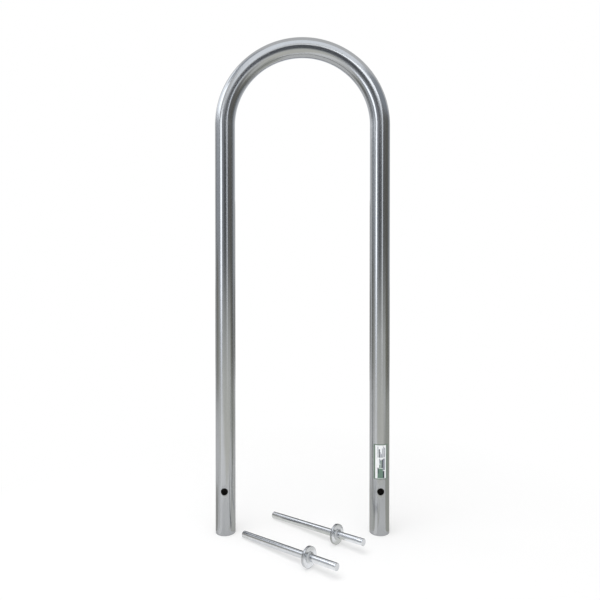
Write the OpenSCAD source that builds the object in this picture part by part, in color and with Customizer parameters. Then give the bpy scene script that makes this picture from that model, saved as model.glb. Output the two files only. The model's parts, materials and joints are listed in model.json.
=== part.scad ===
// Inverted-U cycle stand: one bent stainless tube with a cross hole near the foot of
// each leg, a label on one leg, and two loose ground anchors lying between the legs.
// Millimetres, +Z up, front towards -Y, origin on the ground midway between the legs.

/* [Hoop] */
// Overall height of the hoop
hoop_h = 1200; // [900:10:1500]
// Distance between the centres of the two legs
leg_pitch = 375; // [300:5:700]
// Outside diameter of the tube
tube_od = 48.3; // [33.7:0.1:60.3]
// Wall of the tube
tube_wall = 2; // [1.5:0.1:4]
// Bevel round the sawn ends of the tube
tube_bevel = 0.4; // [0.2:0.1:0.8]

/* [Cross holes] */
// Height of the cross holes above the ground
hole_z = 107; // [60:1:200]
// Clearance of a cross hole round an anchor's bar, on the radius
hole_clear = 0.5; // [0.2:0.1:2]

/* [Label] */
// Height of the label
label_h = 84; // [40:1:140]
// Width of the label, measured round the tube
label_w = 36; // [15:1:45]
// Thickness of the label
label_t = 0.25; // [0.1:0.05:0.5]
// Thickness of the adhesive under the label
label_glue = 0.05; // [0.02:0.01:0.1]
// Corner radius of the label
label_corner = 1.5; // [0.5:0.5:5]
// Gap from the edge of the cross hole up to the label
label_gap = 21.5; // [5:0.5:80]

/* [Anchors] */
// Length of an anchor's bar
bar_len = 280; // [180:5:400]
// Diameter of an anchor's bar
bar_d = 16; // [10:1:20]
// Bevel round the ends of the bar
bar_bevel = 1; // [0.2:0.1:2]
// Length of the bar that stands out beyond the stop collar
short_end = 74; // [20:1:100]
// Diameter of the stop collar
collar_d = 45; // [40:1:70]
// Thickness of the stop collar
collar_t = 6; // [3:0.5:10]
// Bevel round the rim of the stop collar
collar_bevel = 0.5; // [0.2:0.1:1]
// Clearance of the stop collar round the bar, on the radius
collar_clear = 0.1; // [0.05:0.05:0.5]
// Leg of the weld bead between the bar and the collar
weld_leg = 4; // [2:0.5:6]

/* [Anchors on the ground] */
// Turn of both bars from the plane of the hoop towards the front
lay_turn = 41; // [10:1:60]
// Place of the first anchor's long end to the right of the middle
lay_x = -72; // [-100:1:0]
// Place of the first anchor's long end behind the hoop's plane
lay_y = 72; // [50:1:120]
// Distance between the centre lines of the two bars
lay_gap = 121; // [90:1:200]
// How far the second bar lies ahead of the first along its length
lay_stagger = 17; // [-40:1:40]

/* [Hidden] */

round_fn = 48;
cut_over = 1;

tube_r = tube_od / 2;
bore_r = tube_r - tube_wall;
bend_r = leg_pitch / 2;
leg_h = hoop_h - tube_r - bend_r;

bar_r = bar_d / 2;
hole_r = bar_r + hole_clear;
label_z = hole_z + hole_r + label_gap;
label_r = tube_r + label_glue;
label_half_turn = label_w / 2 / label_r * 180 / PI;
label_chord = 2 * label_r * sin(label_half_turn);

collar_r = collar_d / 2;
collar_at = bar_len - short_end - collar_t;
// An anchor rests on the long end's lower edge and on the collar's rim
lay_tilt = atan((collar_r - bar_r) / (collar_at + collar_bevel - bar_bevel));
lay_places = [
    [lay_x, lay_y],
    [lay_x - lay_gap * sin(lay_turn) + lay_stagger * cos(lay_turn),
     lay_y - lay_gap * cos(lay_turn) - lay_stagger * sin(lay_turn)]
];

// Round bar along +Z from z = 0 with a bevel round both ends
module bevelled_bar(r, h, bevel) {
    cylinder(r1 = r - bevel, r2 = r, h = bevel, $fn = round_fn);
    translate([0, 0, bevel])
        cylinder(r = r, h = h - 2 * bevel, $fn = round_fn);
    translate([0, 0, h - bevel])
        cylinder(r1 = r, r2 = r - bevel, h = bevel, $fn = round_fn);
}

// Half ring of round section over the tops of the legs
module bend(r) {
    translate([0, 0, leg_h])
        rotate([90, 0, 0])
            rotate_extrude(angle = 180, $fn = 2 * round_fn)
                translate([bend_r, 0])
                    circle(r = r, $fn = round_fn);
}

// Rectangle with round corners, centred on the origin
module round_rectangle(w, h, corner) {
    square([w - 2 * corner, h], center = true);
    square([w, h - 2 * corner], center = true);
    for (x = [-1, 1], y = [-1, 1])
        translate([x * (w / 2 - corner), y * (h / 2 - corner)])
            circle(r = corner, $fn = round_fn);
}

// The tube: two straight legs and the bend, open at both feet
module hoop_tube() {
    color("#a7a9ac")
        difference() {
            union() {
                for (side = [-1, 1])
                    translate([side * bend_r, 0, 0]) {
                        cylinder(r1 = tube_r - tube_bevel, r2 = tube_r, h = tube_bevel,
                                 $fn = round_fn);
                        translate([0, 0, tube_bevel])
                            cylinder(r = tube_r, h = leg_h - tube_bevel, $fn = round_fn);
                    }
                bend(tube_r);
            }
            for (side = [-1, 1])
                translate([side * bend_r, 0, -cut_over])
                    cylinder(r = bore_r, h = leg_h + cut_over, $fn = round_fn);
            bend(bore_r);
            for (side = [-1, 1])
                translate([side * bend_r, 0, hole_z])
                    rotate([90, 0, 0])
                        cylinder(r = hole_r, h = tube_od + 2 * cut_over, center = true,
                                 $fn = round_fn);
        }
}

// The label: a thin sheet wrapped round the front of the right leg
module label() {
    color("#eef1f2")
        translate([bend_r, 0, label_z])
            intersection() {
                difference() {
                    cylinder(r = label_r + label_t, h = label_h, $fn = 2 * round_fn);
                    translate([0, 0, -cut_over])
                        cylinder(r = label_r, h = label_h + 2 * cut_over, $fn = 2 * round_fn);
                }
                translate([0, 0, label_h / 2])
                    rotate([90, 0, 0])
                        linear_extrude(height = tube_od)
                            round_rectangle(label_chord, label_h, label_corner);
            }
}

// Lays an anchor, built along +X from its long end, on the ground at its place
module lay(place) {
    translate([place[0], place[1], 0])
        rotate([0, -lay_tilt, -lay_turn])
            translate([-bar_bevel, 0, bar_r])
                rotate([0, 90, 0])
                    children();
}

module anchor_bar(place) {
    color("#d3d6d9")
        lay(place)
            bevelled_bar(bar_r, bar_len, bar_bevel);
}

module anchor_collar(place) {
    color("#c9ccd0")
        lay(place)
            translate([0, 0, collar_at])
                difference() {
                    bevelled_bar(collar_r, collar_t, collar_bevel);
                    translate([0, 0, -cut_over])
                        cylinder(r = bar_r + collar_clear, h = collar_t + 2 * cut_over,
                                 $fn = round_fn);
                }
}

// Rounded fillet weld in the corner between the collar's face and the bar
module anchor_weld(place) {
    color("#8f9296")
        lay(place)
            translate([0, 0, collar_at + collar_t])
                rotate_extrude($fn = round_fn)
                    translate([bar_r, 0])
                        intersection() {
                            circle(r = weld_leg, $fn = round_fn);
                            square(weld_leg);
                        }
}

module anchor_1_bar() { anchor_bar(lay_places[0]); }
module anchor_1_collar() { anchor_collar(lay_places[0]); }
module anchor_1_weld() { anchor_weld(lay_places[0]); }
module anchor_2_bar() { anchor_bar(lay_places[1]); }
module anchor_2_collar() { anchor_collar(lay_places[1]); }
module anchor_2_weld() { anchor_weld(lay_places[1]); }

hoop_tube();
label();
anchor_1_bar();
anchor_1_collar();
anchor_1_weld();
anchor_2_bar();
anchor_2_collar();
anchor_2_weld();
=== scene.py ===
"""Models and finishes a stainless hoop cycle stand and its two ground anchors over their CAD frame."""

import json
import math

import bmesh
import bpy
import numpy as np
from mathutils import Matrix, Vector


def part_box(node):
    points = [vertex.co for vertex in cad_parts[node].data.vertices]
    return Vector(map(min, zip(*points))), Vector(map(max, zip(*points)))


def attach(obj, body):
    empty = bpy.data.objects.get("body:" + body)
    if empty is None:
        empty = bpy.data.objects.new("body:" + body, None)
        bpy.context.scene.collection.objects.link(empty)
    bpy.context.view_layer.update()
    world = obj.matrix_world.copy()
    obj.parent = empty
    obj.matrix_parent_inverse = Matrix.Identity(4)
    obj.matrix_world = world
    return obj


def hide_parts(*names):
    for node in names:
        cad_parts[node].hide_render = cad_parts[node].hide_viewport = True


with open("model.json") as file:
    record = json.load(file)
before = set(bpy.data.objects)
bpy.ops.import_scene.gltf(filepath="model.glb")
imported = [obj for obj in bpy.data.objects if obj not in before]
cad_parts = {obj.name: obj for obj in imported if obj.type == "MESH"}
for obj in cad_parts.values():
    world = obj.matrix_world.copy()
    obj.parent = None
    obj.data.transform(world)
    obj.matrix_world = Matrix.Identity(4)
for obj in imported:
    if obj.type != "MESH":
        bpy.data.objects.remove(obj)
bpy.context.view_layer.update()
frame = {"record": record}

bl_info = {
    "name": "Hoop Cycle Stand",
    "version": (1, 0, 0),
    "blender": (4, 5, 0),
    "location": "3D View > Sidebar > Cycle Stand",
    "description": "Models and finishes a stainless hoop cycle stand with its two ground anchors",
    "category": "Object",
}

TUBE_LOW, TUBE_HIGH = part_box("hoop_tube")
LABEL_LOW, LABEL_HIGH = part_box("label")
MM_PER_M = 1000
MOUNTS = {mount["name"]: mount for mount in frame["record"]["mounts"]}
HOLE, BAR_END = MOUNTS["cross_hole_right"], MOUNTS["anchor_1_bar_end"]
HOLE_DIAMETER, BAR_DIAMETER = (2 * mount["dims"]["r_mm"] / MM_PER_M for mount in (HOLE, BAR_END))
STOP_FROM_END = (Vector(MOUNTS["anchor_1_stop"]["pos_m"]) - Vector(BAR_END["pos_m"])).length
# Metres within which two places count as the same, and within which two vertices are merged.
SAME, MERGED = 1e-6, 1e-5


def linear(code):
    """An sRGB hex colour such as "#c0c4c8" as linear RGB."""
    parts = [int(code[i : i + 2], 16) / 255 for i in (1, 3, 5)]
    return [c / 12.92 if c <= 0.04045 else ((c + 0.055) / 1.055) ** 2.4 for c in parts]


def colour(name, description, code):
    """A colour that a user may change, given as an sRGB hex value."""
    return bpy.props.FloatVectorProperty(
        name=name, description=description, subtype="COLOR", size=3, min=0, max=1, default=linear(code)
    )


def length(name, description, default):
    """A length that a user may change, in metres."""
    return bpy.props.FloatProperty(
        name=name, description=description, default=default, min=0, unit="LENGTH", precision=5
    )


# Settings that a user would change


class HoopSettings(bpy.types.PropertyGroup):
    """Sizes and colours of the bent tube."""

    tube_diameter: length("Tube diameter", "Outside diameter of the tube", TUBE_HIGH.y - TUBE_LOW.y)
    tube_wall: length("Tube wall", "Thickness of the tube's wall", 0.002)
    overall_width: length("Overall width", "Width over both legs", TUBE_HIGH.x - TUBE_LOW.x)
    overall_height: length("Overall height", "Height from the ground to the top of the bend", TUBE_HIGH.z)
    sawn_bevel: length("Sawn edge", "Bevel round the sawn feet", 0.0004)
    hole_diameter: length("Hole diameter", "Diameter of the cross holes", HOLE_DIAMETER)
    hole_height: length("Hole height", "Height of the cross holes", HOLE["pos_m"][2])
    hole_bevel: length("Drilled edge", "Bevel round the cross holes", 0.0003)
    steel: colour("Stainless steel", "Colour of the polished tube", "#a8aaac")
    slant: colour("Slanting tint", "Tint of the polished tube where it is seen at a slant", "#e1e1e2")
    bore: colour("Unpolished bore", "Colour of the tube's unpolished inside", "#9a9894")


class LabelSettings(bpy.types.PropertyGroup):
    """Sizes and colours of the label."""

    film_thickness: length("Film thickness", "Thickness of the label", 0.00025)
    glue_thickness: length("Adhesive", "Thickness of the adhesive under the label", 0.00005)
    corner: length("Corner radius", "Radius of the label's corners", 0.0015)
    film: colour("Film", "Colour of the bare film", "#f1f3f5")
    keyline: colour("Edge line", "Colour of the line round the edge", "#67796c")
    panel: colour("Panel", "Colour of the plain panels", "#648172")
    rule: colour("Rules", "Colour of the plain ruled lines", "#5d6579")
    bar: colour("Bars", "Colour of the dark bars", "#27343e")


class AnchorSettings(bpy.types.PropertyGroup):
    """Sizes and colours of the two ground anchors."""

    bar_length: length("Bar length", "Length of an anchor's bar", 0.28)
    bar_diameter: length("Bar diameter", "Diameter of an anchor's bar", BAR_DIAMETER)
    bar_bevel: length("Bar bevel", "Bevel round the ends of the bar", 0.001)
    collar_at: length("Collar place", "Distance from the long end to the collar", STOP_FROM_END)
    collar_diameter: length("Collar diameter", "Diameter of the stop collar", 0.045)
    collar_thickness: length("Collar thickness", "Thickness of the stop collar", 0.006)
    collar_clearance: length("Collar clearance", "Clearance of the stop collar round the bar", 0.0001)
    collar_bevel: length("Collar bevel", "Bevel round the rim of the stop collar", 0.0005)
    weld_leg: length("Weld leg", "Leg of the weld bead", 0.004)
    zinc: colour("Zinc plate", "Colour of the bright zinc plate on the bars", "#d1d3d6")
    collar_zinc: colour("Collar's zinc plate", "Colour of the zinc plate on the collars", "#d0d2d5")
    weld: colour("Weld", "Colour of the plated weld bead", "#cfd1d3")


class StageSettings(bpy.types.PropertyGroup):
    """The floor and the plain studio light."""

    floor: colour("Floor", "Colour of the pale floor", "#fafafa")
    ambient: bpy.props.FloatProperty(
        name="Ambient light", description="Strength of the light from all round", default=0.7, min=0, max=2
    )
    softbox: bpy.props.FloatProperty(
        name="Softbox", description="Power of the softbox overhead", default=50, min=0, unit="POWER"
    )


# Helpers for making pieces


def start(name):
    """Names the primitive that was just added and puts its place into its mesh."""
    piece = bpy.context.active_object
    piece.name = piece.data.name = name
    bpy.ops.object.transform_apply(location=True, rotation=True, scale=True)
    return piece


def only(*pieces):
    """Selects these objects alone, the first of them active."""
    bpy.ops.object.select_all(action="DESELECT")
    for piece in pieces:
        piece.select_set(True)
    bpy.context.view_layer.objects.active = pieces[0]


def edit(piece, kind="EDGE"):
    """Opens a piece in edit mode with nothing selected."""
    only(piece)
    bpy.ops.object.mode_set(mode="EDIT")
    bpy.ops.mesh.select_mode(type=kind)
    bpy.ops.mesh.select_all(action="DESELECT")


def pick(piece, test):
    """Selects what passes the test, among vertices, edges or faces as the select mode says."""
    mesh = bmesh.from_edit_mesh(piece.data)
    kind = bpy.context.tool_settings.mesh_select_mode
    parts = mesh.verts if kind[0] else mesh.edges if kind[1] else mesh.faces
    for part in list(mesh.verts) + list(mesh.edges) + list(mesh.faces):
        part.select = False
    found = [part for part in parts if test(part)]
    if not found:
        raise RuntimeError(f"nothing was found to select on {piece.name}")
    for part in found:
        part.select_set(True)
    mesh.select_flush_mode()
    bmesh.update_edit_mesh(piece.data)


def done():
    """Merges doubles, turns the faces outwards and leaves edit mode."""
    bpy.ops.mesh.select_all(action="SELECT")
    bpy.ops.mesh.remove_doubles(threshold=MERGED)
    bpy.ops.mesh.normals_make_consistent(inside=False)
    bpy.ops.object.mode_set(mode="OBJECT")


def turn_over(piece):
    """Turns every face of an open shell over, where they were found facing inwards."""
    edit(piece)
    bpy.ops.mesh.select_all(action="SELECT")
    bpy.ops.mesh.flip_normals()
    bpy.ops.object.mode_set(mode="OBJECT")


def apply(piece, kind, **settings):
    """Adds a modifier to a piece and applies it."""
    only(piece)
    modifier = piece.modifiers.new(kind.title(), kind)
    for key, value in settings.items():
        setattr(modifier, key, value)
    bpy.ops.object.modifier_apply(modifier=modifier.name)


def points(piece):
    """A piece's vertices, as rows of x, y and z."""
    co = np.empty(len(piece.data.vertices) * 3)
    piece.data.vertices.foreach_get("co", co)
    return co.reshape(-1, 3)


def keep_vector(piece, name, values):
    """Stores one vector per vertex that a material reads."""
    layer = piece.data.attributes.new(name, "FLOAT_VECTOR", "POINT")
    layer.data.foreach_set("vector", np.asarray(values, float).ravel())


def add_slots(piece, count):
    """Gives a piece empty material slots, so that its faces can be told which to wear."""
    for _ in range(count):
        piece.data.materials.append(None)


def finish(piece, body, slot, nodes, *materials):
    """Smooths a piece, dresses it and sets it on its body in place of its CAD nodes."""
    only(piece)
    bpy.ops.object.shade_smooth_by_angle(angle=math.radians(30))
    add_slots(piece, len(materials) - len(piece.data.materials))
    for i, material in enumerate(materials):
        piece.data.materials[i] = material
    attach(piece, body)
    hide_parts(*nodes)


# Helpers for materials


def new_material(name):
    """A material with no nodes yet, and its node tree."""
    material = bpy.data.materials.new(name)
    material.use_nodes = True
    material.node_tree.nodes.clear()
    return material, material.node_tree


def add(tree, kind, links=None, output=0, **settings):
    """Adds a node with its settings and links, and returns the output that is wanted. Each link goes to
    an input socket, as another node's output or as a plain value."""
    node = tree.nodes.new(kind)
    for key, value in settings.items():
        setattr(node, key, value)
    for key, value in (links or {}).items():
        socket = node.inputs[key]
        if isinstance(value, bpy.types.NodeSocket):
            tree.links.new(value, socket)
        else:
            socket.default_value = (*value, 1) if socket.type == "RGBA" else value
    return node.outputs[output] if node.outputs else None


def shade(colours, amount):
    """A colour made lighter or darker by a factor."""
    return [min(1.0, c * amount) for c in colours]


# The tube


def polished_stainless(settings):
    """Stainless steel tube, belt-polished after bending. The belt ran round the tube, so its fine lines
    draw every reflection out along the tube and leave it sharp across; the wall's own waviness makes
    the long reflections wander a little."""
    material, tree = new_material("Belt-polished stainless steel")
    straight = add(tree, "ShaderNodeAttribute", output="Vector", attribute_name="straight")
    lengthwise = add(tree, "ShaderNodeAttribute", output="Vector", attribute_name="lengthwise")
    # The real lines are about 0.1 mm apart; they are drawn 1.2 mm apart so that they show.
    line_place = add(tree, "ShaderNodeMapping", {"Vector": straight, "Scale": (24, 24, 830)})
    lines = add(
        tree, "ShaderNodeTexNoise", {"Vector": line_place, "Scale": 1.0, "Detail": 3.0, "Roughness": 0.6}
    )
    # The wall is wavy from bending and polishing, over about 90 mm along and 40 mm round.
    wave_place = add(tree, "ShaderNodeMapping", {"Vector": straight, "Scale": (24, 24, 11)})
    waves = add(
        tree, "ShaderNodeTexNoise", {"Vector": wave_place, "Scale": 1.0, "Detail": 1.5, "Roughness": 0.45}
    )
    # The belt's passes leave patches about 30 mm wide and 140 mm long that are a touch more or less bright.
    pass_place = add(tree, "ShaderNodeMapping", {"Vector": straight, "Scale": (35, 35, 7)})
    passes = add(
        tree, "ShaderNodeTexNoise", {"Vector": pass_place, "Scale": 1.0, "Detail": 4.0, "Roughness": 0.6}
    )
    pass_share = add(tree, "ShaderNodeMapRange", {"Value": passes, "From Min": 0.35, "From Max": 0.7})
    tone = add(
        tree,
        "ShaderNodeMix",
        {0: pass_share, 6: shade(settings.steel, 1.03), 7: shade(settings.steel, 0.94)},
        output=2,
        data_type="RGBA",
    )
    line_share = add(
        tree, "ShaderNodeMapRange", {"Value": lines, "From Min": 0.45, "From Max": 0.8, "To Max": 0.16}
    )
    tone = add(
        tree,
        "ShaderNodeMix",
        {0: line_share, 6: tone, 7: shade(settings.steel, 0.86)},
        output=2,
        data_type="RGBA",
    )
    rough = add(
        tree,
        "ShaderNodeMapRange",
        {"Value": passes, "From Min": 0.3, "From Max": 0.75, "To Min": 0.128, "To Max": 0.146},
    )
    wavy = add(tree, "ShaderNodeBump", {"Height": waves, "Distance": 0.00003, "Strength": 1.0})
    lined = add(
        tree, "ShaderNodeBump", {"Height": lines, "Distance": 0.00000015, "Strength": 1.0, "Normal": wavy}
    )
    steel = add(
        tree,
        "ShaderNodeBsdfPrincipled",
        {
            "Base Color": tone,
            "Metallic": 1.0,
            "Roughness": rough,
            "Anisotropic": 1.0,
            "Specular Tint": settings.slant,
            "Tangent": lengthwise,
            "Normal": lined,
        },
    )
    add(tree, "ShaderNodeOutputMaterial", {"Surface": steel})
    return material


def mill_finish_bore(settings):
    """The tube's inside as the mill left it: pickled stainless steel, matt and darker than the outside."""
    material, tree = new_material("Pickled stainless steel bore")
    straight = add(tree, "ShaderNodeAttribute", output="Vector", attribute_name="straight")
    # Pickling leaves a grain of about 5 mm round the tube and 15 mm along it.
    place = add(tree, "ShaderNodeMapping", {"Vector": straight, "Scale": (220, 220, 65)})
    grain = add(
        tree, "ShaderNodeTexNoise", {"Vector": place, "Scale": 1.0, "Detail": 4.0, "Roughness": 0.6}
    )
    tone = add(
        tree,
        "ShaderNodeMix",
        {0: grain, 6: shade(settings.bore, 0.8), 7: shade(settings.bore, 1.15)},
        output=2,
        data_type="RGBA",
    )
    rough = add(
        tree,
        "ShaderNodeMapRange",
        {"Value": grain, "From Min": 0.3, "From Max": 0.7, "To Min": 0.42, "To Max": 0.6},
    )
    uneven = add(tree, "ShaderNodeBump", {"Height": grain, "Distance": 0.00003, "Strength": 1.0})
    steel = add(
        tree,
        "ShaderNodeBsdfPrincipled",
        {"Base Color": tone, "Metallic": 1.0, "Roughness": rough, "Normal": uneven},
    )
    add(tree, "ShaderNodeOutputMaterial", {"Surface": steel})
    return material


def straightened(at, pitch_half, leg_height):
    """Each point's place on the tube as it was before bending, and the tube's direction there."""
    straight, lengthwise = np.empty_like(at), np.zeros_like(at)
    arc = np.pi * pitch_half
    for side in (-1, 1):
        leg = (at[:, 2] <= leg_height) & (at[:, 0] * side > 0)
        straight[leg, 0] = at[leg, 0] * side - pitch_half
        straight[leg, 2] = at[leg, 2] if side < 0 else 2 * leg_height + arc - at[leg, 2]
        lengthwise[leg, 2] = -side
    bend = at[:, 2] > leg_height
    x, z = at[bend, 0], at[bend, 2] - leg_height
    turn = np.arctan2(z, -x)
    straight[bend, 0] = np.hypot(x, z) - pitch_half
    straight[bend, 2] = leg_height + pitch_half * turn
    lengthwise[bend, 0], lengthwise[bend, 2] = np.sin(turn), np.cos(turn)
    straight[:, 1] = at[:, 1]
    return straight, lengthwise


class CYCLESTAND_OT_hoop_tube(bpy.types.Operator):
    """Sweep the bent tube, give it its wall, and drill the cross holes"""

    bl_idname = "cyclestand.hoop_tube"
    bl_label = "Hoop tube"

    def execute(self, context):
        s = context.scene.cyclestand_hoop
        radius, rim = s.tube_diameter / 2, s.hole_diameter / 2
        half = s.overall_width / 2 - radius
        leg = s.overall_height - radius - half
        # A vertex this near the tube's outside lies on it, and one this near the drill's radius lies on
        # the hole, because the drill has flat facets.
        skin, facet = 0.0005, 0.00002
        bpy.ops.object.select_all(action="DESELECT")
        bpy.ops.mesh.primitive_circle_add(
            vertices=128, radius=radius, fill_type="NOTHING", location=(-half, 0, 0)
        )
        tube = start("hoop_tube_polished")
        edit(tube)
        bpy.ops.mesh.select_all(action="SELECT")
        # Rings stand close to the sawn foot and the cross hole, and further apart up the leg.
        foot, below, above = 0.012, s.hole_height - s.hole_diameter, s.hole_height + s.hole_diameter
        heights = [foot, below, above, *np.linspace(above, leg, 9)[1:]]
        for low, high in zip([0, *heights], heights):
            bpy.ops.mesh.extrude_region_move(TRANSFORM_OT_translate={"value": (0, 0, high - low)})
        bpy.ops.mesh.spin(steps=96, angle=-math.pi, center=(0, 0, leg), axis=(0, 1, 0))
        top = max(v.co.z for v in bmesh.from_edit_mesh(tube.data).verts)
        if abs(top - s.overall_height) > skin:
            raise RuntimeError("the bend was spun the wrong way")
        for high, low in zip(heights[::-1], [*heights[-2::-1], 0]):
            bpy.ops.mesh.extrude_region_move(TRANSFORM_OT_translate={"value": (0, 0, low - high)})
        done()
        leftmost = next(face for face in tube.data.polygons if face.center.x < -half - radius * 0.9)
        if leftmost.normal.x > 0:
            turn_over(tube)
        apply(tube, "SOLIDIFY", thickness=s.tube_wall, offset=-1, use_even_offset=True)
        edit(tube)
        pick(
            tube,
            lambda e: all(
                v.co.z < SAME and math.hypot(abs(v.co.x) - half, v.co.y) > radius - skin for v in e.verts
            ),
        )
        bpy.ops.mesh.bevel(offset=s.sawn_bevel, segments=3, affect="EDGES")
        bpy.ops.object.mode_set(mode="OBJECT")
        bpy.ops.object.select_all(action="DESELECT")
        drills = []
        for side in (-1, 1):
            bpy.ops.mesh.primitive_cylinder_add(
                vertices=64,
                radius=rim,
                depth=radius * 3,
                location=(side * half, 0, s.hole_height),
                rotation=(math.pi / 2, 0, 0),
            )
            drills.append(start("drill"))
        only(*drills)
        bpy.ops.object.join()
        apply(tube, "BOOLEAN", operation="DIFFERENCE", solver="EXACT", object=drills[0])
        bpy.data.objects.remove(drills[0])
        edit(tube)
        pick(
            tube,
            lambda e: all(
                abs(math.hypot(abs(v.co.x) - half, v.co.z - s.hole_height) - rim) < facet
                and math.hypot(abs(v.co.x) - half, v.co.y) > radius - skin
                for v in e.verts
            ),
        )
        bpy.ops.mesh.bevel(offset=s.hole_bevel, segments=2, affect="EDGES")
        bpy.ops.object.mode_set(mode="OBJECT")
        straight, lengthwise = straightened(points(tube), half, leg)
        keep_vector(tube, "straight", straight)
        keep_vector(tube, "lengthwise", lengthwise)
        add_slots(tube, 2)
        inner = radius - s.tube_wall / 2
        for face in tube.data.polygons:
            across = np.mean([straight[i][:2] for i in face.vertices], axis=0)
            face.material_index = int(math.hypot(*across) < inner)
        finish(tube, "hoop", "stainless_tube", ["hoop_tube"], polished_stainless(s), mill_finish_bore(s))
        return {"FINISHED"}


# The label


# How wide the line round the edge is at the sides and at the ends, in millimetres.
EDGE_LINE = (3.6, 2.0)
INKS = ("film", "keyline", "panel", "rule", "bar")
# The plain print, over the edge line and the bare film: its left and low edges, width and high edge in
# millimetres from the film's lower left corner, and its ink.
PRINT = (
    (8.6, 2.8, 12.8, 26, "panel"),
    (8.6, 14, 2.4, 28, "bar"),
    (21.4, 2.8, 3.6, 20.5, "bar"),
    (12.4, 27, 2.2, 36, "panel"),
    (13.1, 37.5, 2, 50, "rule"),
    (15.5, 27, 2.4, 46, "panel"),
    (18.4, 27, 3, 48, "bar"),
    (21.8, 22, 1.8, 50, "rule"),
    (24.1, 22, 1.8, 50, "rule"),
    (9, 52.5, 1.2, 79, "rule"),
    (11.6, 52.5, 2.4, 73, "bar"),
    (14.7, 52.5, 1, 66, "rule"),
    (16.8, 52.5, 1.4, 62, "rule"),
    (19.4, 52.5, 1.2, 74, "rule"),
    (22, 52.5, 1, 79, "rule"),
    (24.3, 52.5, 1.7, 76, "rule"),
)


def printed_film(name, tone, gloss):
    """Printed vinyl film: a smooth skin with a soft sheen, and ink that is a touch uneven."""
    material, tree = new_material(name)
    place = add(tree, "ShaderNodeTexCoord", output="Object")
    # Ink is uneven over about 2 mm, and the adhesive's ridges show through the film over about 12 mm.
    ink = add(tree, "ShaderNodeTexNoise", {"Vector": place, "Scale": 520.0, "Detail": 3.0, "Roughness": 0.6})
    glue = add(tree, "ShaderNodeTexNoise", {"Vector": place, "Scale": 85.0, "Detail": 2.0, "Roughness": 0.5})
    share = add(tree, "ShaderNodeMapRange", {"Value": ink, "From Min": 0.35, "From Max": 0.7})
    inked = add(
        tree,
        "ShaderNodeMix",
        {0: share, 6: shade(tone, 1.03), 7: shade(tone, 0.93)},
        output=2,
        data_type="RGBA",
    )
    rough = add(
        tree,
        "ShaderNodeMapRange",
        {"Value": glue, "From Min": 0.3, "From Max": 0.7, "To Min": gloss - 0.06, "To Max": gloss + 0.08},
    )
    ridged = add(tree, "ShaderNodeBump", {"Height": glue, "Distance": 0.00004, "Strength": 1.0})
    film = add(
        tree,
        "ShaderNodeBsdfPrincipled",
        {"Base Color": inked, "Roughness": rough, "IOR": 1.5, "Normal": ridged},
    )
    add(tree, "ShaderNodeOutputMaterial", {"Surface": film})
    return material


class CYCLESTAND_OT_label(bpy.types.Operator):
    """Cut the label from film, rule it, and wrap it round the front of the right leg"""

    bl_idname = "cyclestand.label"
    bl_label = "Label"

    def execute(self, context):
        s, hoop = context.scene.cyclestand_label, context.scene.cyclestand_hoop
        low, high = LABEL_LOW, LABEL_HIGH
        width, tall = high.x - low.x, high.z - low.z
        centre_x, centre_z = (high.x + low.x) / 2, low.z + tall / 2
        tube_radius = hoop.tube_diameter / 2
        bpy.ops.object.select_all(action="DESELECT")
        bpy.ops.mesh.primitive_plane_add(
            size=1, location=(centre_x, -2 * tube_radius, centre_z), rotation=(math.pi / 2, 0, 0)
        )
        label = start("label_film")
        edit(label, "VERT")
        bpy.ops.mesh.select_all(action="SELECT")
        bpy.ops.transform.resize(value=(width, 1, tall))
        bpy.ops.mesh.bevel(offset=s.corner, segments=6, affect="VERTICES")
        w, h = width * MM_PER_M, tall * MM_PER_M
        side, end = EDGE_LINE
        areas = [(0, 0, w, h, "keyline"), (side, end, w - side, h - end, "film")]
        areas += [(left, bottom, left + wide, top, ink) for left, bottom, wide, top, ink in PRINT]
        # The film is cut along every printed edge, and into 24 strips that follow the tube.
        strips = set(np.linspace(0, w, 25).round(3))
        across = sorted({round(x, 3) for area in areas for x in (area[0], area[2])} | strips)
        up = sorted({round(z, 3) for area in areas for z in (area[1], area[3])})
        for values, normal in ((across, (1, 0, 0)), (up, (0, 0, 1))):
            for value in values[1:-1]:
                place = (low.x + value / MM_PER_M, 0, low.z + value / MM_PER_M)
                bpy.ops.mesh.select_all(action="SELECT")
                bpy.ops.mesh.bisect(plane_co=place, plane_no=normal)
        done()
        add_slots(label, len(INKS))
        for face in label.data.polygons:
            x, z = (face.center.x - low.x) * MM_PER_M, (face.center.z - low.z) * MM_PER_M
            for left, bottom, right, top, ink in areas:
                if left < x < right and bottom < z < top:
                    face.material_index = INKS.index(ink)
        bpy.ops.object.select_all(action="DESELECT")
        bpy.ops.mesh.primitive_cylinder_add(
            vertices=256,
            radius=tube_radius + s.glue_thickness,
            depth=tall * 1.4,
            end_fill_type="NOTHING",
            location=(centre_x, 0, centre_z),
        )
        former = start("former")
        apply(
            label,
            "SHRINKWRAP",
            target=former,
            wrap_method="PROJECT",
            use_project_y=True,
            use_negative_direction=True,
            use_positive_direction=True,
        )
        bpy.data.objects.remove(former)
        if label.data.polygons[0].normal.y > 0:
            turn_over(label)
        apply(label, "SOLIDIFY", thickness=s.film_thickness, offset=1, use_even_offset=True)
        finish(
            label,
            "hoop",
            "label",
            ["label"],
            printed_film("White vinyl film", s.film, 0.36),
            printed_film("Green edge ink on vinyl", s.keyline, 0.42),
            printed_film("Green panel ink on vinyl", s.panel, 0.42),
            printed_film("Grey ink on vinyl", s.rule, 0.42),
            printed_film("Dark ink on vinyl", s.bar, 0.4),
        )
        return {"FINISHED"}


# The anchors


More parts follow.
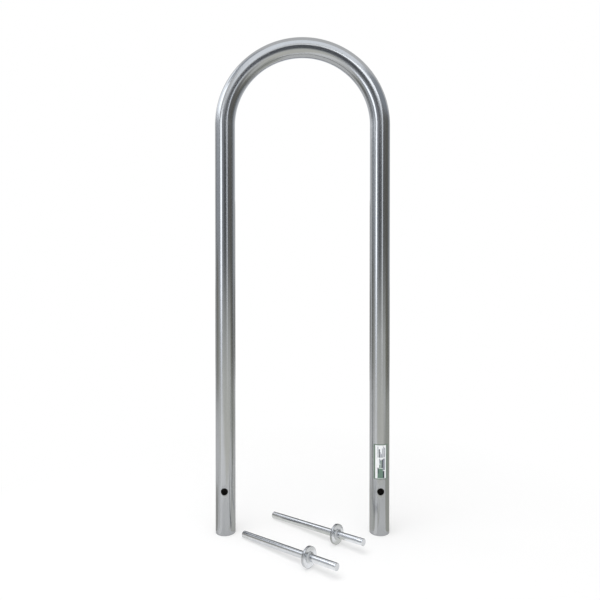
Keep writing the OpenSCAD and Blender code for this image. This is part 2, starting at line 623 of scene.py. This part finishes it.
def plated_bar(settings):
    """Cold-drawn steel bar, electroplated with bright zinc: silvery and a little blue, fairly bright, with
    faint draw lines along the bar and cloudy patches in the plate."""
    material, tree = new_material("Bright zinc plate on drawn bar")
    turned = add(tree, "ShaderNodeAttribute", output="Vector", attribute_name="turned")
    # Draw lines lie 0.05 to 0.2 mm apart; they are drawn 1.5 mm apart so that they show.
    line_place = add(tree, "ShaderNodeMapping", {"Vector": turned, "Scale": (5, 660, 660)})
    lines = add(
        tree, "ShaderNodeTexNoise", {"Vector": line_place, "Scale": 1.0, "Detail": 3.0, "Roughness": 0.55}
    )
    # The plate is cloudy over 10 to 20 mm.
    clouds = add(
        tree, "ShaderNodeTexNoise", {"Vector": turned, "Scale": 70.0, "Detail": 4.0, "Roughness": 0.6}
    )
    cloud_share = add(tree, "ShaderNodeMapRange", {"Value": clouds, "From Min": 0.3, "From Max": 0.75})
    tone = add(
        tree,
        "ShaderNodeMix",
        {0: cloud_share, 6: shade(settings.zinc, 1.04), 7: shade(settings.zinc, 0.92)},
        output=2,
        data_type="RGBA",
    )
    line_share = add(
        tree, "ShaderNodeMapRange", {"Value": lines, "From Min": 0.5, "From Max": 0.85, "To Max": 0.4}
    )
    tone = add(
        tree,
        "ShaderNodeMix",
        {0: line_share, 6: tone, 7: shade(settings.zinc, 0.84)},
        output=2,
        data_type="RGBA",
    )
    rough = add(
        tree,
        "ShaderNodeMapRange",
        {"Value": clouds, "From Min": 0.3, "From Max": 0.7, "To Min": 0.1, "To Max": 0.16},
    )
    cloudy = add(tree, "ShaderNodeBump", {"Height": clouds, "Distance": 0.00001, "Strength": 1.0})
    lined = add(
        tree, "ShaderNodeBump", {"Height": lines, "Distance": 0.000002, "Strength": 1.0, "Normal": cloudy}
    )
    zinc = add(
        tree,
        "ShaderNodeBsdfPrincipled",
        {"Base Color": tone, "Metallic": 1.0, "Roughness": rough, "Normal": lined},
    )
    add(tree, "ShaderNodeOutputMaterial", {"Surface": zinc})
    return material


def plated_collar(settings):
    """The same bright zinc plate over a turned steel collar, on the fine rings that the lathe left."""
    material, tree = new_material("Bright zinc plate on turned collar")
    turned = add(tree, "ShaderNodeAttribute", output="Vector", attribute_name="turned")
    across = add(tree, "ShaderNodeVectorMath", {0: turned, 1: (0, 1, 1)}, operation="MULTIPLY")
    radius = add(tree, "ShaderNodeVectorMath", {0: across}, output="Value", operation="LENGTH")
    # Lathe rings, really 0.15 mm apart, are drawn 1.2 mm apart so that they show.
    turns = add(tree, "ShaderNodeMath", {0: radius, 1: 2 * math.pi / 0.0012}, operation="MULTIPLY")
    rings = add(tree, "ShaderNodeMath", {0: turns}, operation="SINE")
    # The plate is cloudy over about 11 mm.
    clouds = add(
        tree, "ShaderNodeTexNoise", {"Vector": turned, "Scale": 90.0, "Detail": 4.0, "Roughness": 0.6}
    )
    cloud_share = add(tree, "ShaderNodeMapRange", {"Value": clouds, "From Min": 0.3, "From Max": 0.75})
    tone = add(
        tree,
        "ShaderNodeMix",
        {0: cloud_share, 6: shade(settings.collar_zinc, 1.04), 7: shade(settings.collar_zinc, 0.9)},
        output=2,
        data_type="RGBA",
    )
    # Painted shade: the turned rim is painted greyer than the flat faces, standing in for the darker
    # reflection that the rim shows, and passes from one to the other over 1.2 mm.
    rim = settings.collar_diameter / 2
    painted_rim_shade = add(
        tree, "ShaderNodeMapRange", {"Value": radius, "From Min": rim - 0.0016, "From Max": rim - 0.0004}
    )
    tone = add(
        tree,
        "ShaderNodeMix",
        {0: painted_rim_shade, 6: tone, 7: shade(settings.collar_zinc, 0.68)},
        output=2,
        data_type="RGBA",
    )
    rough = add(
        tree,
        "ShaderNodeMapRange",
        {"Value": clouds, "From Min": 0.3, "From Max": 0.7, "To Min": 0.2, "To Max": 0.3},
    )
    cloudy = add(tree, "ShaderNodeBump", {"Height": clouds, "Distance": 0.00002, "Strength": 1.0})
    ringed = add(
        tree, "ShaderNodeBump", {"Height": rings, "Distance": 0.000004, "Strength": 1.0, "Normal": cloudy}
    )
    zinc = add(
        tree,
        "ShaderNodeBsdfPrincipled",
        {"Base Color": tone, "Metallic": 1.0, "Roughness": rough, "Normal": ringed},
    )
    add(tree, "ShaderNodeOutputMaterial", {"Surface": zinc})
    return material


def plated_weld(settings):
    """A hand-laid weld bead under zinc plate: rippled, duller than the bar and mottled darker by its
    spatter.
    """
    material, tree = new_material("Zinc-plated weld bead")
    turned = add(tree, "ShaderNodeAttribute", output="Vector", attribute_name="turned")
    # Spatter and oxide leave a grain of about 1.5 mm.
    spatter = add(
        tree, "ShaderNodeTexNoise", {"Vector": turned, "Scale": 700.0, "Detail": 4.0, "Roughness": 0.65}
    )
    share = add(tree, "ShaderNodeMapRange", {"Value": spatter, "From Min": 0.3, "From Max": 0.75})
    tone = add(
        tree,
        "ShaderNodeMix",
        {0: share, 6: shade(settings.weld, 1.05), 7: shade(settings.weld, 0.75)},
        output=2,
        data_type="RGBA",
    )
    rough = add(
        tree,
        "ShaderNodeMapRange",
        {"Value": spatter, "From Min": 0.3, "From Max": 0.7, "To Min": 0.28, "To Max": 0.42},
    )
    pitted = add(tree, "ShaderNodeBump", {"Height": spatter, "Distance": 0.0001, "Strength": 1.0})
    weld = add(
        tree,
        "ShaderNodeBsdfPrincipled",
        {"Base Color": tone, "Metallic": 1.0, "Roughness": rough, "Normal": pitted},
    )
    add(tree, "ShaderNodeOutputMaterial", {"Surface": weld})
    return material


def lay_both(model, part, finished, slot, material):
    """Lays a copy of a part, made along +X from the long end, where each anchor lies in the CAD frame."""
    keep_vector(model, "turned", points(model))
    for number in (1, 2):
        end = MOUNTS[f"anchor_{number}_bar_end"]
        turn = (-Vector(end["axis"])).to_track_quat("X", "Z").to_matrix().to_4x4()
        piece = model.copy()
        piece.data = model.data.copy()
        bpy.context.scene.collection.objects.link(piece)
        piece.name = piece.data.name = f"anchor_{number}_{finished}"
        piece.matrix_world = Matrix.Translation(end["pos_m"]) @ turn
        only(piece)
        bpy.ops.object.transform_apply(location=True, rotation=True, scale=True)
        finish(piece, f"anchor_{number}", slot, [f"anchor_{number}_{part}"], material)
    bpy.data.objects.remove(model)


def runs_round(edge):
    """Whether an edge runs round the bar, at one distance from the long end."""
    return abs(edge.verts[0].co.x - edge.verts[1].co.x) < SAME


def off_axis(vertex):
    """A vertex's distance from the middle line of the bar."""
    return math.hypot(vertex.co.y, vertex.co.z)


def is_round(face):
    """Whether a face is a round end, which has far more corners than a face of a side."""
    return len(face.verts) > 8


class CYCLESTAND_OT_anchor_bars(bpy.types.Operator):
    """Make the round bars of both anchors"""

    bl_idname = "cyclestand.anchor_bars"
    bl_label = "Anchor bars"

    def execute(self, context):
        s = context.scene.cyclestand_anchor
        radius = s.bar_diameter / 2
        bpy.ops.object.select_all(action="DESELECT")
        bpy.ops.mesh.primitive_cylinder_add(
            vertices=64,
            radius=radius,
            depth=s.bar_length,
            location=(s.bar_length / 2, 0, 0),
            rotation=(0, math.pi / 2, 0),
        )
        bar = start("bar")
        edit(bar)
        pick(bar, runs_round)
        bpy.ops.mesh.bevel(offset=s.bar_bevel, segments=4, affect="EDGES")
        # Each end keeps the small round dimple of the centre drill, with a sloping side.
        dimple, flat_share, slope_share = 0.0006, 0.35, 0.28
        bpy.ops.mesh.select_mode(type="FACE")
        pick(bar, is_round)
        for share in (flat_share, slope_share):
            bpy.ops.mesh.inset(thickness=radius * share)
        for end, inwards in ((0, 1), (s.bar_length, -1)):
            pick(bar, lambda f: is_round(f) and abs(f.calc_center_median().x - end) < MERGED)
            bpy.ops.transform.translate(value=(inwards * dimple, 0, 0))
        for cut in np.linspace(0, s.bar_length, 12)[1:-1]:
            bpy.ops.mesh.select_all(action="SELECT")
            bpy.ops.mesh.bisect(plane_co=(cut, 0, 0), plane_no=(1, 0, 0))
        done()
        lay_both(bar, "bar", "bar_plated", "zinc_bar", plated_bar(s))
        return {"FINISHED"}


class CYCLESTAND_OT_anchor_collars(bpy.types.Operator):
    """Make the stop collars of both anchors"""

    bl_idname = "cyclestand.anchor_collars"
    bl_label = "Anchor collars"

    def execute(self, context):
        s = context.scene.cyclestand_anchor
        radius, bore = s.collar_diameter / 2, s.bar_diameter / 2 + s.collar_clearance
        # An edge counts as on the bore or the rim within this.
        near = 0.0001
        bpy.ops.object.select_all(action="DESELECT")
        bpy.ops.mesh.primitive_cylinder_add(
            vertices=96,
            radius=radius,
            depth=s.collar_thickness,
            location=(s.collar_at + s.collar_thickness / 2, 0, 0),
            rotation=(0, math.pi / 2, 0),
        )
        collar = start("collar")
        edit(collar, "FACE")
        pick(collar, is_round)
        bpy.ops.mesh.inset(thickness=radius - bore)
        bpy.ops.mesh.delete(type="FACE")
        bpy.ops.mesh.select_mode(type="EDGE")
        pick(collar, lambda e: all(off_axis(v) < bore + near for v in e.verts))
        bpy.ops.mesh.bridge_edge_loops()
        pick(collar, lambda e: runs_round(e) and all(off_axis(v) > radius - near for v in e.verts))
        bpy.ops.mesh.bevel(offset=s.collar_bevel, segments=4, affect="EDGES")
        done()
        lay_both(collar, "collar", "collar_plated", "zinc_collar", plated_collar(s))
        return {"FINISHED"}


class CYCLESTAND_OT_anchor_welds(bpy.types.Operator):
    """Lay the rippled weld beads that hold the collars"""

    bl_idname = "cyclestand.anchor_welds"
    bl_label = "Anchor welds"

    def execute(self, context):
        s = context.scene.cyclestand_anchor
        face, bar = s.collar_at + s.collar_thickness, s.bar_diameter / 2
        ripples, ripple_steps = 26, 6
        # The bead is made a little slimmer than its leg, so that its ripples stay within it.
        slim = 0.94
        bpy.ops.object.select_all(action="DESELECT")
        bpy.ops.mesh.primitive_torus_add(
            major_segments=ripples * ripple_steps,
            minor_segments=24,
            major_radius=bar,
            minor_radius=s.weld_leg * slim,
            location=(face, 0, 0),
            rotation=(0, math.pi / 2, 0),
        )
        bead = start("bead")
        edit(bead, "VERT")
        # It keeps only the quarter between the collar's face and the bar, sunk a hair into both.
        sunk_in_collar, sunk_in_bar = 0.0001, 0.0004
        bpy.ops.mesh.select_all(action="SELECT")
        bpy.ops.mesh.bisect(plane_co=(face - sunk_in_collar, 0, 0), plane_no=(-1, 0, 0), clear_outer=True)
        pick(bead, lambda v: off_axis(v) < bar - sunk_in_bar)
        bpy.ops.mesh.delete(type="VERT")
        bpy.ops.mesh.select_mode(type="EDGE")
        pick(bead, lambda e: e.is_boundary)
        bpy.ops.mesh.bridge_edge_loops()
        done()
        # Each ripple is one touch of the torch: a round crest with a narrow hollow before the next. The
        # ripples are unevenly spaced, and the whole bead wanders in and out.
        crest_height, wander_height, uneven, roundness, mean_crest = 0.00045, 0.00025, 0.18, 0.6, 0.75
        co = points(bead)
        angle = np.arctan2(co[:, 2], co[:, 1])
        out = np.hypot(co[:, 1], co[:, 2])
        rise = np.clip((out - bar) / s.weld_leg + (co[:, 0] - face) / s.weld_leg, 0, 1)
        phase = (angle * ripples / (2 * np.pi) + uneven * np.sin(3 * angle + 1)) % 1
        crest = crest_height * (np.abs(np.sin(np.pi * phase)) ** roundness - mean_crest) * rise
        wander = wander_height * np.sin(2 * angle + 0.7) * rise
        grow = (crest + wander) / np.sqrt(2)
        co[:, 0] += grow
        co[:, 1] += np.cos(angle) * grow
        co[:, 2] += np.sin(angle) * grow
        bead.data.vertices.foreach_set("co", co.ravel())
        bead.data.update()
        lay_both(bead, "weld", "weld_bead", "weld", plated_weld(s))
        return {"FINISHED"}


# The stage


WHITE = linear("#ffffff")
SOFTBOX = "#f7faff"
FLOOR_LIT = "#f0f1ec"
# The cards and softboxes of the studio, which stand round the stand and show in its polish:
# name, azimuth and width in degrees, low and high edges and distance in metres, colour, colour at
# the foot, strength. Azimuth 0 is in front of the stand, towards -Y, and 90 is at its right, towards +X.
CARDS = (
    ("Front card", 1.5, 31, 0.0, 1.53, 1.6, "#6f7277", FLOOR_LIT, 1.0),
    ("Front card edge", -18.5, 9, 0.0, 1.53, 1.6, "#989ba1", FLOOR_LIT, 1.0),
    ("Camera stand", -3, 7, 0.0, 1.42, 1.4, "#606368", FLOOR_LIT, 1.0),
    ("Strip softbox", -43.8, 18.8, 0.0, 1.62, 2.15, SOFTBOX, "#b8bbc3", 2.9),
    ("Strip softbox glow", -28, 11, 0.0, 1.5, 1.6, "#aeb1b8", FLOOR_LIT, 1.0),
    ("Left wall", -78.3, 51.4, 0.0, 1.5, 1.6, "#c9cdd3", "#d5d6d1", 1.0),
    ("Left bench", -93, 30, 0.0, 0.7, 1.5, "#97948d", "#b5b4ab", 1.0),
    ("Left corner", -112, 12, 0.0, 1.5, 1.45, "#989ca0", "#b4b4b2", 1.0),
    ("Light stand", 24.3, 14.2, 0.0, 2.41, 5.0, "#f3f7ff", FLOOR_LIT, 1.35),
    ("Far wall", 26, 26, 0.0, 2.6, 5.1, "#6f7277", FLOOR_LIT, 1.0),
    ("Right wall", 50, 33, 0.0, 1.53, 1.6, "#7f7e7b", FLOOR_LIT, 1.0),
    ("Right wall end", 80, 31, 0.0, 1.53, 1.62, "#7f7d76", "#9d9c8f", 1.0),
    ("Right back wall", 103, 18, 0.0, 1.5, 1.6, "#95989b", "#8d8c85", 1.0),
    ("Right corner", 122, 22, 0.0, 1.5, 1.6, "#d4d9dd", "#b3b3af", 1.0),
    ("Back card", 180, 60, 0.0, 2.0, 1.9, "#c4c8cd", "#c4c8cd", 1.0),
    ("Back bench", 180, 84, 0.0, 0.5, 1.8, "#908f8a", "#908f8a", 1.0),
    ("Back stand", 180, 30, 0.0, 1.3, 1.7, "#4c4f53", "#4c4f53", 1.0),
    ("Back softbox", 180, 45, 0.86, 1.36, 0.6, SOFTBOX, SOFTBOX, 1.3),
    ("Upper side softbox", -112, 40, 1.36, 2.7, 1.6, SOFTBOX, SOFTBOX, 2.0),
    ("Upper left softbox", -78, 28, 1.45, 2.2, 1.6, SOFTBOX, SOFTBOX, 3.0),
    ("Upper left drape", -76, 48, 2.3, 4.4, 1.6, "#cbd1d9", "#cbd1d9", 1.0),
    ("Upper front softbox", -18, 24, 1.62, 2.1, 1.6, SOFTBOX, SOFTBOX, 1.6),
    ("Upper right softbox", 22, 30, 1.58, 1.88, 1.6, SOFTBOX, SOFTBOX, 3.5),
    ("Upper right drape", 75, 72, 1.53, 2.6, 1.6, "#b8bec6", "#b8bec6", 1.0),
)
# The white floor lights a card fully up to the first of these heights, and not above the second.
CARD_FOOT = (0.18, 0.65)
# The softbox above the front: its place, its width and depth, and its strength.
TOP_SOFTBOX = ((0, -1.15, 2.3), (2.2, 1.5, 1), 1.6)
# Painted light and shade on the floor, which only the polish shows: patches painted brighter or darker than
# the paper by side, where the floor round the stand is lit or shaded. Columns: name, place left or right of
# the middle, azimuth, nearest and furthest edges, width at each of them, height, colour, strength.
LEG_AT = TUBE_HIGH.x - (TUBE_HIGH.y - TUBE_LOW.y) / 2
FLOOR_CARDS = [
    ("Front floor", 0, 0, 0.33, 1.6, 1.9, 1.9, 0.001, "#fcfbf2", 1.0),
    ("Right floor", 0, 100, 0.5, 1.5, 1.4, 1.4, 0.002, "#d5d6cd", 1.0),
    ("Bright floor", 0, -40, 0.35, 1.5, 0.4, 0.6, 0.002, "#ffffff", 1.27),
]
# Round each foot: a patch of painted light on the bright side, and patches of painted shade on the dull side
# and the far side.
for foot, at, dull, far in (
    ("Left foot", -LEG_AT, "#e4e5df", "#d4d4d0"),
    ("Right foot", LEG_AT, "#d6d7ce", "#f4f4f0"),
):
    FLOOR_CARDS += [
        (foot + ", bright side", at, -40, 0.026, 0.36, 0.012, 0.16, 0.002, "#ffffff", 1.18),
        (foot + ", dull side", at, 100, 0.026, 0.33, 0.06, 0.5, 0.001, dull, 1.0),
        (foot + ", far side", at, -112, 0.026, 0.3, 0.04, 0.36, 0.001, far, 1.0),
    ]
# The floor's width, and how far it lies below the feet so that neither flickers through the other.
FLOOR_SIZE, FLOOR_GAP = 80, 0.0001
# The paper shows its own shade up to the first of these distances and is clean white from the second;
# the last is the share of clean white under the stand.
PAPER_SHADED, PAPER_CLEAN, PAPER_LEAST = 0.3, 0.9, 0.45
LAMP_AT, LAMP_AIM, LAMP_SIZE = (-0.6, -0.9, 3.0), (0, 0, 0.3), 2.4
# The camera's place in metres and tilt below level in degrees, its lens and sensor in millimetres, its
# shift as a share of the frame, and the nearest and furthest that it sees.
CAMERA_AT, CAMERA_TILT = (-0.0061, -1.4, 0.6744), 0.676
LENS, SENSOR, SHIFT_Y, CLIP = 34.6, 36, -0.0633, (0.01, 200)


def in_reflections_only(panel, tone, foot, strength):
    """Gives a panel a glow that only reflections show, so it neither hides nor shades the stand. A card
    is lit by the white floor at its foot, so it is paler there."""
    material, tree = new_material(panel.name)
    place = add(tree, "ShaderNodeTexCoord", output="Object")
    height = add(tree, "ShaderNodeSeparateXYZ", {0: place}, output="Z")
    lit, unlit = CARD_FOOT
    raised = add(tree, "ShaderNodeMapRange", {"Value": height, "From Min": lit, "From Max": unlit})
    glow_tone = add(
        tree, "ShaderNodeMix", {0: raised, 6: linear(foot), 7: linear(tone)}, output=2, data_type="RGBA"
    )
    glow = add(tree, "ShaderNodeEmission", {"Color": glow_tone, "Strength": strength})
    add(tree, "ShaderNodeOutputMaterial", {"Surface": glow})
    panel.data.materials.append(material)
    panel.visible_camera = panel.visible_diffuse = panel.visible_shadow = False
    panel.visible_transmission = panel.visible_volume_scatter = False


def card(name, azimuth, width, low, high, distance, tone, foot, strength):
    """An upright card or softbox at its place round the stand."""
    turn = math.radians(azimuth)
    place = (math.sin(turn) * distance, -math.cos(turn) * distance, (low + high) / 2)
    bpy.ops.object.select_all(action="DESELECT")
    bpy.ops.mesh.primitive_plane_add(size=1, location=place, rotation=(math.pi / 2, 0, turn))
    wide = 2 * distance * math.tan(math.radians(width / 2))
    bpy.context.active_object.scale = (wide, high - low, 1)
    in_reflections_only(start(name), tone, foot, strength)


def floor_card(name, side, azimuth, near, far, near_width, far_width, height, tone, strength):
    """A flat card on the floor, which only reflections show."""
    turn = math.radians(azimuth)
    along = Vector((math.sin(turn), -math.cos(turn), 0))
    place = Vector((side, 0, height))
    middle = (near + far) / 2
    bpy.ops.object.select_all(action="DESELECT")
    bpy.ops.mesh.primitive_plane_add(size=1, location=place + along * middle, rotation=(0, 0, turn))
    bpy.context.active_object.scale = (near_width, far - near, 1)
    panel = start(name)
    edit(panel, "VERT")
    pick(panel, lambda v: (v.co - place).dot(along) > middle)
    wider = far_width / near_width
    bpy.ops.transform.resize(value=(wider, wider, 1), center_override=place + along * far)
    bpy.ops.object.mode_set(mode="OBJECT")
    in_reflections_only(panel, tone, tone, strength)


def seen_directly(tree):
    """1 for a ray from the camera or off a gloss, or through glass, and 0 for light falling on things."""
    camera = add(tree, "ShaderNodeLightPath", output="Is Camera Ray")
    glossy = add(tree, "ShaderNodeLightPath", output="Is Glossy Ray")
    through = add(tree, "ShaderNodeLightPath", output="Is Transmission Ray")
    either = add(tree, "ShaderNodeMath", {0: camera, 1: glossy}, operation="ADD")
    return add(tree, "ShaderNodeMath", {0: either, 1: through}, operation="ADD")


def lay_floor(settings):
    """White studio paper: plain and matt under the stand, so it takes the shadow, and clean white
    further out."""
    bpy.ops.object.select_all(action="DESELECT")
    bpy.ops.mesh.primitive_plane_add(size=FLOOR_SIZE, location=(0, 0, -FLOOR_GAP))
    floor = start("floor")
    material, tree = new_material("White studio paper")
    place = add(tree, "ShaderNodeTexCoord", output="Object")
    far = add(tree, "ShaderNodeVectorMath", {0: place}, output="Value", operation="LENGTH")
    clean = add(
        tree,
        "ShaderNodeMapRange",
        {"Value": far, "From Min": PAPER_SHADED, "From Max": PAPER_CLEAN, "To Min": PAPER_LEAST},
    )
    share = add(tree, "ShaderNodeMath", {0: seen_directly(tree), 1: clean}, operation="MULTIPLY")
    paper = add(tree, "ShaderNodeBsdfDiffuse", {"Color": settings.floor})
    white = add(tree, "ShaderNodeEmission", {"Color": WHITE, "Strength": 1.0})
    mixed = add(tree, "ShaderNodeMixShader", {0: share, 1: paper, 2: white})
    add(tree, "ShaderNodeOutputMaterial", {"Surface": mixed})
    floor.data.materials.append(material)


def light_room(scene, settings):
    """Even white light from all round, a square softbox overhead, and the cards that the polish shows."""
    world = scene.world or bpy.data.worlds.new("Studio")
    scene.world = world
    world.use_nodes = True
    tree = world.node_tree
    tree.nodes.clear()
    soft = add(tree, "ShaderNodeBackground", {"Color": WHITE, "Strength": settings.ambient})
    white = add(tree, "ShaderNodeBackground", {"Color": WHITE, "Strength": 1.0})
    mixed = add(tree, "ShaderNodeMixShader", {0: seen_directly(tree), 1: soft, 2: white})
    add(tree, "ShaderNodeOutputWorld", {"Surface": mixed})
    bpy.ops.object.light_add(type="AREA", location=LAMP_AT)
    lamp = bpy.context.active_object
    lamp.name = lamp.data.name = "Overhead softbox"
    lamp.data.shape, lamp.data.size, lamp.data.energy = "SQUARE", LAMP_SIZE, settings.softbox
    lamp.rotation_euler = (Vector(LAMP_AIM) - lamp.location).to_track_quat("-Z", "Y").to_euler()
    lamp.visible_glossy = False
    for values in CARDS:
        card(*values)
    for values in FLOOR_CARDS:
        floor_card(*values)
    place, size, strength = TOP_SOFTBOX
    bpy.ops.object.select_all(action="DESELECT")
    bpy.ops.mesh.primitive_plane_add(size=1, location=place)
    bpy.context.active_object.scale = size
    in_reflections_only(start("Softbox above"), SOFTBOX, SOFTBOX, strength)


def set_camera(scene):
    """The camera where the photograph's stood, as the outline of the legs and the bend shows."""
    tilt = math.radians(90 - CAMERA_TILT)
    bpy.ops.object.camera_add(location=CAMERA_AT, rotation=(tilt, 0, 0))
    scene.camera = bpy.context.active_object
    camera = scene.camera.data
    camera.sensor_width, camera.lens, camera.shift_y = SENSOR, LENS, SHIFT_Y
    camera.clip_start, camera.clip_end = CLIP


class CYCLESTAND_OT_stage(bpy.types.Operator):
    """Set up the pale floor, the soft studio light and the camera"""

    bl_idname = "cyclestand.stage"
    bl_label = "Studio stage"

    def execute(self, context):
        scene, settings = context.scene, context.scene.cyclestand_stage
        scene.view_settings.view_transform = "Standard"
        lay_floor(settings)
        light_room(scene, settings)
        set_camera(scene)
        return {"FINISHED"}


# The panel and the run


GROUPS = {
    "cyclestand_stage": ["cyclestand.stage"],
    "cyclestand_hoop": ["cyclestand.hoop_tube"],
    "cyclestand_label": ["cyclestand.label"],
    "cyclestand_anchor": ["cyclestand.anchor_bars", "cyclestand.anchor_collars", "cyclestand.anchor_welds"],
}
SETTINGS = {
    "cyclestand_stage": StageSettings,
    "cyclestand_hoop": HoopSettings,
    "cyclestand_label": LabelSettings,
    "cyclestand_anchor": AnchorSettings,
}


class CYCLESTAND_PT_panel(bpy.types.Panel):
    """Lists the stand's pieces"""

    bl_idname = "CYCLESTAND_PT_panel"
    bl_label = "Hoop Cycle Stand"
    bl_space_type = "VIEW_3D"
    bl_region_type = "UI"
    bl_category = "Cycle Stand"

    def draw(self, context):
        for settings, operators in GROUPS.items():
            box = self.layout.box()
            group = getattr(context.scene, settings)
            for name in group.bl_rna.properties.keys():
                if name not in {"rna_type", "name"}:
                    box.prop(group, name)
            for operator in operators:
                box.operator(operator)


CLASSES = (
    *SETTINGS.values(),
    CYCLESTAND_OT_stage,
    CYCLESTAND_OT_hoop_tube,
    CYCLESTAND_OT_label,
    CYCLESTAND_OT_anchor_bars,
    CYCLESTAND_OT_anchor_collars,
    CYCLESTAND_OT_anchor_welds,
    CYCLESTAND_PT_panel,
)


def register():
    """Registers the settings, the operators and the panel."""
    for item in CLASSES:
        bpy.utils.register_class(item)
    for name, group in SETTINGS.items():
        setattr(bpy.types.Scene, name, bpy.props.PointerProperty(type=group))


def unregister():
    """Takes away all that register added."""
    for name in SETTINGS:
        delattr(bpy.types.Scene, name)
    for item in reversed(CLASSES):
        bpy.utils.unregister_class(item)


def main():
    """Makes the stage and the pieces in order."""
    register()
    bpy.ops.cyclestand.stage()
    bpy.ops.cyclestand.hoop_tube()
    bpy.ops.cyclestand.label()
    bpy.ops.cyclestand.anchor_bars()
    bpy.ops.cyclestand.anchor_collars()
    bpy.ops.cyclestand.anchor_welds()


if __name__ == "__main__":
    main()
